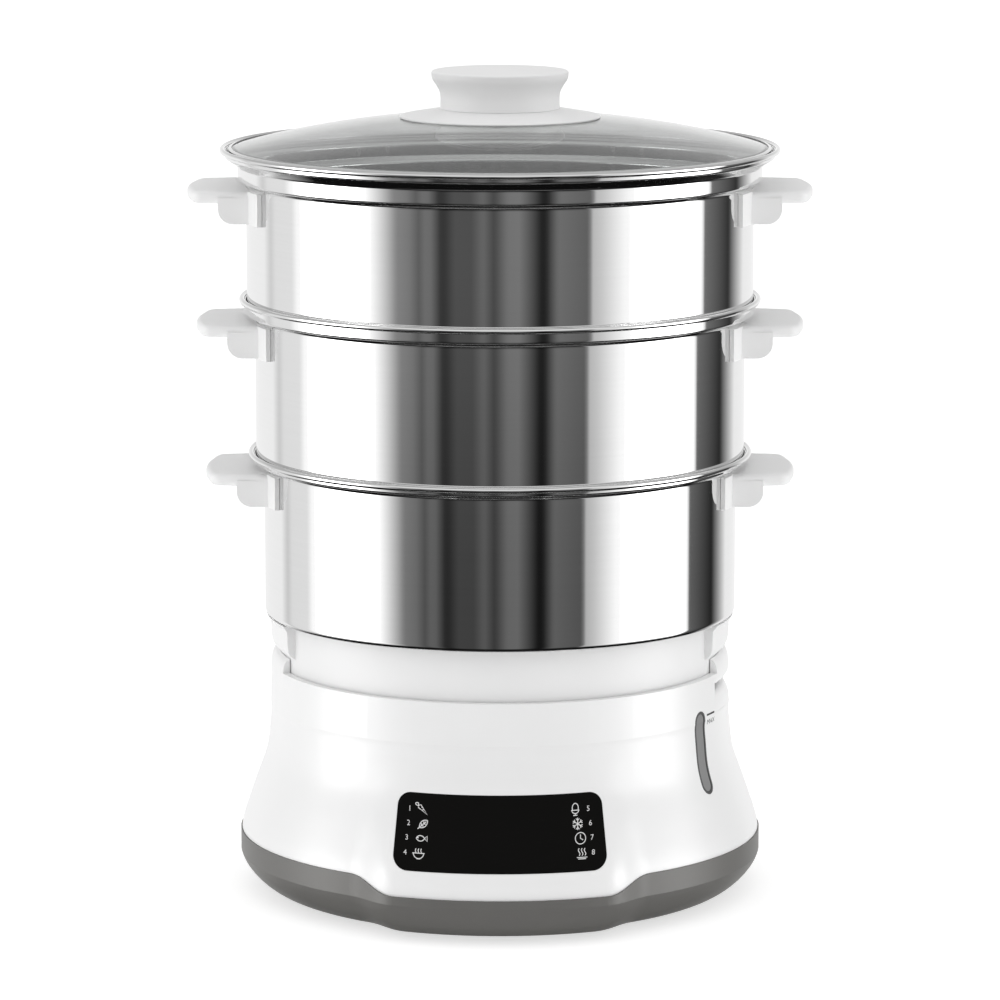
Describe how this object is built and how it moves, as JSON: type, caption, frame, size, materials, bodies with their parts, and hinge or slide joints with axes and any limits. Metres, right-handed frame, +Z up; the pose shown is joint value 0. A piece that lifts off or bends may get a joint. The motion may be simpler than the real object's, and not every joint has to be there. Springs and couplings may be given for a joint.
{
  "type": "electric food steamer",
  "caption": "Electric food steamer: flared white base with touch panel, tank, heater and inlet, stacked steel baskets with lift-out grids, drip tray and glass lid.",
  "frame": {"origin": "on the worktop, at the bottom of the feet, on the axis of the stack", "axes": "+Z up along the stack axis, -Y towards the control panel, +X towards the water inlet"},
  "size_m": [0.3302, 0.2958, 0.4385],
  "materials": {
    "white_plastic": "moulded ABS, satin gloss",
    "handle_plastic": "moulded PP, fine matte",
    "grey_plastic": "moulded ABS, satin",
    "tank_plastic": "moulded PP, matte",
    "panel_black": "back-printed acrylic, high gloss",
    "steel": "polished stainless steel sheet",
    "fastener_steel": "plain steel",
    "glass": "tempered glass",
    "window_clear": "clear grey SAN, moulded",
    "gasket_dark": "dark silicone",
    "silicone": "white silicone",
    "foot_rubber": "moulded rubber",
    "aluminium": "cast aluminium",
    "element_steel": "oxidised steel tube",
    "thermostat_body": "phenolic",
    "circuit_board": "glass-epoxy board",
    "display_grey": "display block",
    "wire_red": "silicone wire sleeve",
    "wire_black": "wire sleeve"
  },
  "bodies": {
    "base": {"base_shell": "white_plastic", "base_skirt": "grey_plastic", "cord_gland": "gasket_dark", "bottom_cover": "grey_plastic", "rubber_feet": "foot_rubber", "bottom_screws": "fastener_steel", "water_tank": "tank_plastic", "water_inlet": "white_plastic", "level_gasket": "gasket_dark", "level_window": "window_clear", "heating_plate": "steel", "heater_seal": "silicone", "clamp_ring": "fastener_steel", "clamp_screws": "fastener_steel", "heat_spreader": "aluminium", "heating_element": "element_steel", "thermostat": "thermostat_body", "control_panel": "panel_black", "control_board": "circuit_board", "display_module": "display_grey", "power_board": "circuit_board", "heater_leads": "wire_red", "panel_lead": "wire_black"},
    "turbo_ring": {"turbo_ring": "handle_plastic"},
    "collector": {"juice_collector": "white_plastic"},
    "basket_1": {"basket_1_wall": "steel", "basket_1_handle_right": "handle_plastic", "basket_1_handle_left": "handle_plastic", "basket_1_screws": "fastener_steel"},
    "grid_1": {"basket_1_grid": "steel"},
    "basket_2": {"basket_2_wall": "steel", "basket_2_handle_right": "handle_plastic", "basket_2_handle_left": "handle_plastic", "basket_2_screws": "fastener_steel"},
    "grid_2": {"basket_2_grid": "steel"},
    "basket_3": {"basket_3_wall": "steel", "basket_3_handle_right": "handle_plastic", "basket_3_handle_left": "handle_plastic", "basket_3_screws": "fastener_steel"},
    "grid_3": {"basket_3_grid": "steel"},
    "lid": {"lid_glass": "glass", "lid_ring": "steel", "lid_knob": "handle_plastic", "knob_flange": "white_plastic", "knob_seal": "silicone", "knob_screw": "fastener_steel"}
  },
  "joints": [
    {"name": "turbo_ring_lift", "type": "slide", "parent": "base", "child": "turbo_ring", "axis": [0, 0, 1], "range_m": [0, 0.02]},
    {"name": "collector_lift", "type": "slide", "parent": "base", "child": "collector", "axis": [0, 0, 1], "range_m": [0, 0.12]},
    {"name": "basket_1_lift", "type": "slide", "parent": "collector", "child": "basket_1", "axis": [0, 0, 1], "range_m": [0, 0.12]},
    {"name": "grid_1_lift", "type": "slide", "parent": "basket_1", "child": "grid_1", "axis": [0, 0, 1], "range_m": [0, 0.05]},
    {"name": "basket_2_lift", "type": "slide", "parent": "basket_1", "child": "basket_2", "axis": [0, 0, 1], "range_m": [0, 0.12]},
    {"name": "grid_2_lift", "type": "slide", "parent": "basket_2", "child": "grid_2", "axis": [0, 0, 1], "range_m": [0, 0.045]},
    {"name": "basket_3_lift", "type": "slide", "parent": "basket_2", "child": "basket_3", "axis": [0, 0, 1], "range_m": [0, 0.12]},
    {"name": "grid_3_lift", "type": "slide", "parent": "basket_3", "child": "grid_3", "axis": [0, 0, 1], "range_m": [0, 0.04]},
    {"name": "lid_lift", "type": "slide", "parent": "basket_3", "child": "lid", "axis": [0, 0, 1], "range_m": [0, 0.12]}
  ]
}
